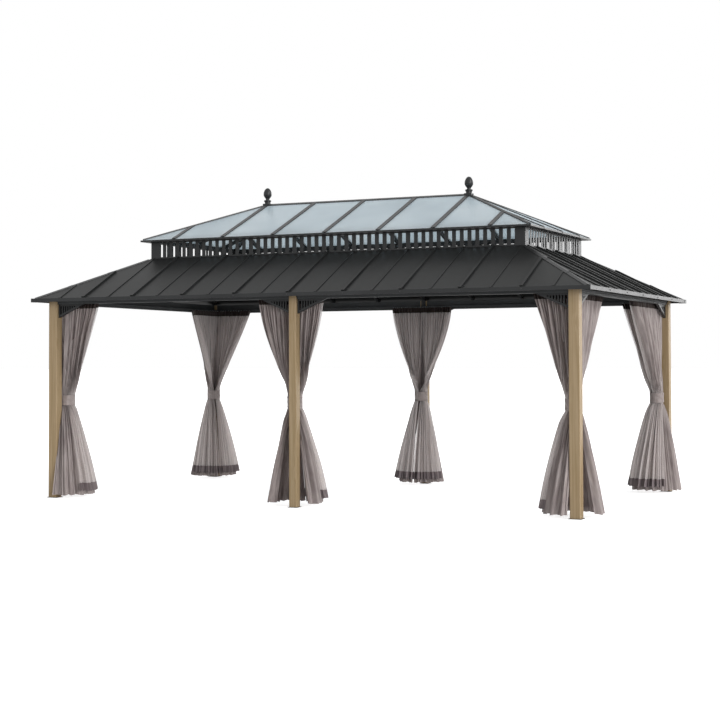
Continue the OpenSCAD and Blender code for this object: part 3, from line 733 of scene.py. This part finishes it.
# How far each panel spreads along its rail, in metres
LONG_SPREAD = {
    "front_right": 0.376,
    "front_left": 0.44,
    "rear_right": 0.40,
    "rear_left": 0.50,
}
END_SPREAD = {
    "front_right": 1.05,
    "front_left": 0.57,
    "rear_right": 1.08,
    "rear_left": 0.58,
}
MIDDLE_SPREAD = {"front": (0.335, 0.383), "rear": (0.364, 0.374)}
for place, (side, sx, end, sy) in enumerate(CORNERS):
    corner = f"{end}_{side}"
    bundle = (sx * corner_bundle[0], -sy * corner_bundle[1])
    inside = (-sx * HALF, -sy * HALF)
    post_sides = np.array(
        [
            [sx * corner_low.x, sy * abs(corner_high.y)],
            [sx * corner_high.x, sy * abs(corner_low.y)],
        ]
    )
    post = (post_sides.min(axis=0) - PAIR_CLEAR, post_sides.max(axis=0) + PAIR_CLEAR)
    # The long run starts beside the post, and the end run just short of the long rail
    to_side = corner_low.x + CORNER_START - abs(bundle[0])
    to_end = rail_y - END_START - abs(bundle[1])
    end_cloth = LEFT_END_CLOTH if side == "left" else RIGHT_END_CLOTH
    runs = [
        dict(
            LONG_CLOTH,
            name="long",
            out=(-sx, 0),
            waist_out=(-sx * HALF, sy * HALF),
            waist_in=inside,
            rail_from=-to_side,
            rail_length=LONG_SPREAD[corner] + CORNER_START,
            rail_in=abs(bundle[1]) - rail_y,
            inward=(0, -sy),
            hem_start=-46,
            hem_reach=HEM_REACH,
            belly=1.08,
        ),
        dict(
            end_cloth,
            name="end",
            out=(0, -sy),
            waist_out=(sx * HALF, -sy * HALF),
            waist_in=inside,
            rail_from=-to_end,
            rail_length=END_SPREAD[corner] - (abs(corner_high.y) - rail_y + END_START),
            rail_in=abs(bundle[0]) - rail_x,
            inward=(-sx, 0),
            hem_start=-62 if side == "right" else -24,
            hem_reach=HEM_REACH,
            belly=1.08,
        ),
    ]
    curtain_pair(corner, bundle, post, runs, 11 + 7 * place)

bundles = [(sx * corner_bundle[0], -sy * corner_bundle[1]) for _, sx, _, sy in CORNERS]
middle_bundles = (("front", -1, FRONT_MIDDLE_SHIFT), ("rear", 1, 0.0))
for place, (end, sy, shift) in enumerate(middle_bundles):
    bundle = (-shift, sy * abs(middle_bundle_y))
    bundles.append(bundle)
    post_sides = np.array(
        [
            [middle_post_low.x, sy * abs(middle_post_high.y)],
            [middle_post_high.x, sy * abs(middle_post_low.y)],
        ]
    )
    post = (
        post_sides.min(axis=0) - STRAP - PAIR_CLEAR,
        post_sides.max(axis=0) + STRAP + PAIR_CLEAR,
    )
    runs = [
        dict(
            LONG_CLOTH,
            name=name,
            out=(way, 0),
            waist_out=(way, 0),
            waist_in=(0, -sy),
            rail_from=-MIDDLE_OVERLAP,
            rail_length=length,
            rail_in=abs(bundle[1]) - rail_y,
            inward=(0, -sy),
            hem_start=-30,
            hem_reach=MIDDLE_HEM_REACH,
            belly=1.5,
        )
        for name, way, length in zip(("right", "left"), (1, -1), MIDDLE_SPREAD[end])
    ]
    curtain_pair(f"{end}_middle", bundle, post, runs, 61 + 9 * place)

# ------------------------------------------------------------------ tie bands

BAND_RADIUS = 77 * MM
# Once round, and the lap, in radians
BAND_WRAP = 2 * math.pi + 0.6
BAND_HEIGHT = band_high.z - band_low.z
BAND_LAP = 3 * MM
BAND_RIPPLE = 4.5 * MM
BAND_CREASE = 1.5 * MM
BAND_HOLLOW = 3 * MM
BAND_TILT = 5 * MM


def tie_band(name, centre, start, seed):
    """A wide strip of the curtain's cloth, pulled tight round the bundle so
    that it wrinkles, with its end lapped over its start."""
    rng = np.random.default_rng(seed)
    rows, columns = 15, 133
    turn = np.linspace(0, BAND_WRAP, columns)[None, :]
    up = np.linspace(-0.5, 0.5, rows)[:, None]
    ripple = np.zeros((rows, columns))
    for _ in range(6):
        around, over, phase = rng.integers(1, 7), rng.uniform(3, 11), rng.uniform(0, 6.3)
        ripple += np.sin(around * turn + over * up + phase) / 6
    pinch = 1 - 2.4 * up**2
    lap = BAND_LAP * smooth_step((turn - 2 * math.pi + 0.25) / 0.3)
    hollow = BAND_HOLLOW * np.cos(math.pi * up) ** 2
    radius = BAND_RADIUS + lap + BAND_RIPPLE * ripple * pinch - hollow
    radius = radius + BAND_CREASE * np.sin(5 * turn + 9 * up) * pinch
    level = (band_low.z + band_high.z) / 2 + up * BAND_HEIGHT * (0.93 + 0.06 * ripple)
    level = level + BAND_TILT * np.sin(turn + start)
    points = np.stack(
        [
            centre[0] + radius * np.cos(turn + start),
            centre[1] + radius * np.sin(turn + start),
            np.broadcast_to(level, radius.shape),
        ],
        axis=2,
    ).reshape(-1, 3)
    uv = np.stack(
        np.broadcast_arrays(turn * BAND_RADIUS, up * BAND_HEIGHT), axis=2
    ).reshape(-1, 2)
    faces = grid_faces(rows, columns)
    band = finished(name, points, faces, BAND_CLOTH, True, uv)
    return band


for place, centre in enumerate(bundles):
    start = math.atan2(-centre[1], -centre[0]) + 0.4
    band = tie_band(f"tie_band_{place + 1}", centre, start, 200 + place)
    if place == 0:
        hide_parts("tie_bands")

# ------------------------------------------------------------------ hooks and screws


def repeat_tree(name, sizes, shape, finish):
    """A tree that puts one small shape on every point of a mesh, turned as the
    point's own value says."""
    tree = bpy.data.node_groups.new(name, "GeometryNodeTree")
    sockets = tree.interface
    sockets.new_socket("Places", in_out="INPUT", socket_type="NodeSocketGeometry")
    for label in sizes:
        sockets.new_socket(label, in_out="INPUT", socket_type="NodeSocketFloat")
    sockets.new_socket("Pieces", in_out="OUTPUT", socket_type="NodeSocketGeometry")
    given = add(tree, "NodeGroupInput").outputs
    turn = add(
        tree,
        "GeometryNodeInputNamedAttribute",
        settings={"data_type": "FLOAT_VECTOR"},
        inputs={"Name": "turn"},
    )
    placed = add(
        tree,
        "GeometryNodeInstanceOnPoints",
        inputs={
            "Points": given["Places"],
            "Instance": shape(tree, given),
            "Rotation": turn.outputs["Attribute"],
        },
    )
    real = add(
        tree,
        "GeometryNodeRealizeInstances",
        inputs={"Geometry": placed.outputs["Instances"]},
    )
    coated = add(
        tree,
        "GeometryNodeSetMaterial",
        inputs={"Geometry": real.outputs["Geometry"], "Material": finish},
    )
    add(tree, "NodeGroupOutput", inputs={"Pieces": coated.outputs["Geometry"]})
    return tree


def repeated(name, places, sizes, shape, finish):
    """One piece of many equal small parts, each at a place and facing a way."""
    mesh = bpy.data.meshes.new(name)
    mesh.from_pydata([spot for spot, _ in places], [], [])
    turns = mesh.attributes.new("turn", "FLOAT_VECTOR", "POINT")
    for value, (_, way) in zip(turns.data, places):
        value.vector = Vector(way).to_track_quat("Z", "Y").to_euler()
    piece = bpy.data.objects.new(name, mesh)
    bpy.context.scene.collection.objects.link(piece)
    modifier = piece.modifiers.new("repeat", "NODES")
    tree = repeat_tree(name, sizes, shape, finish)
    modifier.node_group = tree
    for item in tree.interface.items_tree:
        if item.in_out == "INPUT" and item.name in sizes:
            modifier[item.identifier] = sizes[item.name]
    made = bpy.data.meshes.new_from_object(
        piece.evaluated_get(bpy.context.evaluated_depsgraph_get())
    )
    piece.modifiers.clear()
    piece.data = made
    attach(piece, ROOT)
    return piece


def screw_shape(tree, given):
    """A flanged hexagon head: a round flange with a six-sided head on it."""
    flange = add(
        tree,
        "GeometryNodeMeshCone",
        inputs={
            "Vertices": 14,
            "Radius Bottom": given["Flange radius"],
            "Radius Top": given["Head radius"],
            "Depth": given["Flange height"],
        },
    )
    head = add(
        tree,
        "GeometryNodeMeshCone",
        inputs={
            "Vertices": 6,
            "Radius Bottom": given["Head radius"],
            "Radius Top": given["Head radius"],
            "Depth": given["Head height"],
        },
    )
    joined = add(tree, "GeometryNodeJoinGeometry")
    tree.links.new(flange.outputs["Mesh"], joined.inputs["Geometry"])
    tree.links.new(head.outputs["Mesh"], joined.inputs["Geometry"])
    return joined.outputs["Geometry"]


def hook_shape(tree, given):
    """A round glider ring that stands in the plane of the rail."""
    ring = add(
        tree,
        "GeometryNodeCurvePrimitiveCircle",
        settings={"mode": "RADIUS"},
        inputs={"Resolution": 12, "Radius": given["Ring radius"]},
    )
    wire = add(
        tree,
        "GeometryNodeCurvePrimitiveCircle",
        settings={"mode": "RADIUS"},
        inputs={"Resolution": 5, "Radius": given["Wire radius"]},
    )
    return add(
        tree,
        "GeometryNodeCurveToMesh",
        inputs={"Curve": ring.outputs["Curve"], "Profile Curve": wire.outputs["Curve"]},
    ).outputs["Mesh"]


repeated(
    "curtain_hooks",
    hook_places,
    {"Ring radius": 6 * MM, "Wire radius": 1.2 * MM},
    hook_shape,
    ZINC,
)

SHEET_PITCH = 600 * MM
# The thickness of a roof sheet, measured straight up
SHEET_RISE = 3.4 * MM
slope = math.atan2(sheet_high.z - sheet_low.z - SHEET_RISE, sheet_high.y - sheet_low.y)
sheet_face = (-math.sin(slope), math.cos(slope))
# Where the screws of the sheets, the frieze and the splices are
SCREW_UP_SLOPE = 60 * MM
BESIDE_JOINT = 30 * MM
END_SHEET_PAST_HIP = 1.8 * MM
FRIEZE_SCREW_INSET = 40 * MM
FRIEZE_SCREW_LEVELS = (0.22, 0.78)
BESIDE_SPLICE = 16 * MM
SPLICE_SCREW_LEVELS = (0.2, 0.8)
SCREW_SIZES = {
    "Flange radius": 8 * MM,
    "Head radius": 5.2 * MM,
    "Flange height": 1.6 * MM,
    "Head height": 5 * MM,
}
roof_screws, frame_screws, bright_screws = [], [], []
trim_middle = (trim_low.z + trim_high.z) / 2
upper_middle = (upper_trim_low.z + upper_trim_high.z) / 2
up_run = SCREW_UP_SLOPE * math.cos(slope)
screw_level = sheet_low.z + SCREW_UP_SLOPE * math.sin(slope) + SHEET_RISE
for side in (-1, 1):
    for step in range(-2, 3):
        spot = (side * trim_high.x, step * SHEET_PITCH, trim_middle)
        frame_screws.append((spot, (side, 0, 0)))
    for step in range(-4, 5):
        spot = (step * SHEET_PITCH, side * trim_high.y, trim_middle)
        frame_screws.append((spot, (0, side, 0)))
    for step in (-1, 0, 1):
        spot = (side * upper_trim_high.x, step * SHEET_PITCH, upper_middle)
        frame_screws.append((spot, (side, 0, 0)))
    # Two screws in each sheet's foot, beside the joint rib
    for step in range(-4, 5):
        for beside in (-BESIDE_JOINT, BESIDE_JOINT):
            along = step * SHEET_PITCH + beside
            spot = (along, side * (abs(sheet_low.y) - up_run), screw_level)
            roof_screws.append((spot, (0, side * -sheet_face[0], sheet_face[1])))
    for step in range(-2, 3):
        for beside in (-BESIDE_JOINT, BESIDE_JOINT):
            along = step * SHEET_PITCH + beside
            end_x = hip_high.x - up_run + END_SHEET_PAST_HIP
            spot = (side * end_x, along, screw_level)
            roof_screws.append((spot, (side * -sheet_face[0], 0, sheet_face[1])))
    for across in (-1, 1):
        for level in FRIEZE_SCREW_LEVELS:
            height = frieze_low.z + (frieze_high.z - frieze_low.z) * level
            along = across * (abs(frieze_low.y) - FRIEZE_SCREW_INSET)
            bright_screws.append(((side * frieze_high.x, along, height), (side, 0, 0)))
    for across in (-BESIDE_SPLICE, BESIDE_SPLICE):
        for level in SPLICE_SCREW_LEVELS:
            height = splice_low.z + (splice_high.z - splice_low.z) * level
            spot = (across, side * abs(splice_high.y - STRAP), height)
            frame_screws.append((spot, (0, -side, 0)))
for name, places, finish, slot in (
    ("roof_sheet_screws", roof_screws, SCREW_COAT, "roof_steel"),
    ("frame_screws", frame_screws, SCREW_COAT, "dark_frame"),
    ("frieze_screws", bright_screws, ZINC, "dark_frame"),
):
    repeated(name, places, SCREW_SIZES, screw_shape, finish)

# ------------------------------------------------------------------ laps on hips and eaves


LAP_LENGTH = 46 * MM
LAP_GROWTH = 1.6 * MM
WELD = 0.05 * MM
HIP_LAPS = (0.3, 0.63)
EAVE_CORNER = 70 * MM


def lap_sleeve(name, node, cuts):
    """A short sleeve that hugs a stretch of a frame part. Each cut is a point
    and a direction, and keeps what lies beyond it."""
    mesh = bpy.data.meshes.new(name)
    shell = bmesh.new()
    shell.from_mesh(frame["nodes"][node].data)
    bmesh.ops.remove_doubles(shell, verts=shell.verts, dist=WELD)
    for point, way in cuts:
        cut = bmesh.ops.bisect_plane(
            shell,
            geom=shell.verts[:] + shell.edges[:] + shell.faces[:],
            plane_co=point,
            plane_no=way,
            clear_inner=True,
        )
        edges = [e for e in cut["geom_cut"] if isinstance(e, bmesh.types.BMEdge)]
        bmesh.ops.holes_fill(shell, edges=edges, sides=0)
    bmesh.ops.recalc_face_normals(shell, faces=shell.faces)
    for vertex in shell.verts:
        vertex.normal_update()
    moves = [
        (vertex, vertex.normal * LAP_GROWTH * vertex.calc_shell_factor())
        for vertex in shell.verts
    ]
    for vertex, move in moves:
        vertex.co += move
    bmesh.ops.triangulate(shell, faces=shell.faces)
    shell.to_mesh(mesh)
    shell.free()
    mesh.materials.append(FRAME_COAT)
    piece = bpy.data.objects.new(name, mesh)
    bpy.context.scene.collection.objects.link(piece)
    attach(piece, ROOT)


hip_foot = np.array([hip_high.x, -abs(hip_low.y), hip_low.z])
hip_head = hip_foot + np.array([-1, 1, 0]) * (sheet_high.y - sheet_low.y)
hip_head[2] = hip_high.z
for side, sx, end, sy in CORNERS:
    mirror = np.array([sx, -sy, 1])
    foot, head = hip_foot * mirror, hip_head * mirror
    way = unit(head - foot)
    # All four hips are one part, so two more cuts keep one quarter of the plan
    quarter = [((0, 0, 0), (sx, 0, 0)), ((0, 0, 0), (0, sy, 0))]
    for number, share in enumerate(HIP_LAPS):
        point = foot + (head - foot) * share
        cuts = [(point, way), (point + way * LAP_LENGTH, -way), *quarter]
        lap_sleeve(f"hip_lap_{end}_{side}_{number + 1}", "hip_caps", cuts)
    cuts = [
        ((sx * (trim_high.x - EAVE_CORNER), 0, 0), (sx, 0, 0)),
        ((0, sy * (trim_high.y - EAVE_CORNER), 0), (0, sy, 0)),
    ]
    lap_sleeve(f"eave_corner_{end}_{side}", "eave_trim", cuts)

# ------------------------------------------------------------------ floor and light

FLOOR_REACH = 400.0
FLOOR_DROP = 0.5 * MM
FLOOR_CORNERS = ((-1, -1), (1, -1), (1, 1), (-1, 1))
floor = bpy.data.objects.new("floor", bpy.data.meshes.new("floor"))
floor.data.from_pydata(
    [(x * FLOOR_REACH, y * FLOOR_REACH, -FLOOR_DROP) for x, y in FLOOR_CORNERS],
    [],
    [(0, 1, 2, 3)],
)
bpy.context.scene.collection.objects.link(floor)
# The floor is matt white, and seen by the camera it is as bright as the background
floor_paint, tree, output = new_material("matt_white_floor_paint")
matt = add(tree, "ShaderNodeBsdfDiffuse", inputs={"Color": linear("#f2f2f2")})
white = add(tree, "ShaderNodeEmission", inputs={"Color": (1, 1, 1, 1), "Strength": 0.75})
seen = add(tree, "ShaderNodeLightPath").outputs["Is Camera Ray"]
brighter = add(
    tree,
    "ShaderNodeAddShader",
    inputs={0: matt.outputs["BSDF"], 1: white.outputs["Emission"]},
)
floor_shader = mixed(tree, seen, matt.outputs["BSDF"], brighter.outputs["Shader"])
tree.links.new(floor_shader, output.inputs["Surface"])
floor.data.materials.append(floor_paint)

# The world is white to the camera, to reflections and through the panels, and
# dimmer as a light
WORLD_LIGHT = 0.52
world = bpy.data.worlds.new("studio")
bpy.context.scene.world = world
world.use_nodes = True
tree = world.node_tree
tree.nodes.clear()
paths = add(tree, "ShaderNodeLightPath").outputs
bright = paths["Is Camera Ray"]
for kind in ("Is Glossy Ray", "Is Transmission Ray"):
    bright = add(
        tree,
        "ShaderNodeMath",
        settings={"operation": "MAXIMUM"},
        inputs={0: bright, 1: paths[kind]},
    ).outputs["Value"]
level = ranged(tree, bright, (0, 1), (WORLD_LIGHT, 1.0))
sky = add(
    tree, "ShaderNodeBackground", inputs={"Color": (1, 1, 1, 1), "Strength": level}
).outputs["Background"]
add(tree, "ShaderNodeOutputWorld", inputs={"Surface": sky})


def softbox(name, towards, strength, width_degrees):
    """A broad even light from one side, as from a large softbox far away."""
    data = bpy.data.lights.new(name, "SUN")
    data.energy = strength
    data.angle = math.radians(width_degrees)
    light = bpy.data.objects.new(name, data)
    light.rotation_euler = Vector(towards).to_track_quat("-Z", "Y").to_euler()
    bpy.context.scene.collection.objects.link(light)


softbox("key_from_the_right_end", (-0.84, 0.12, -0.52), 1.3, 24)
softbox("low_from_the_front_right", (-0.82, 0.55, -0.14), 1.35, 20)
softbox("fill_from_the_front", (0.1, 0.9, -0.35), 0.12, 60)
softbox("rim_from_the_rear", (-0.35, -0.93, -0.14), 0.9, 36)
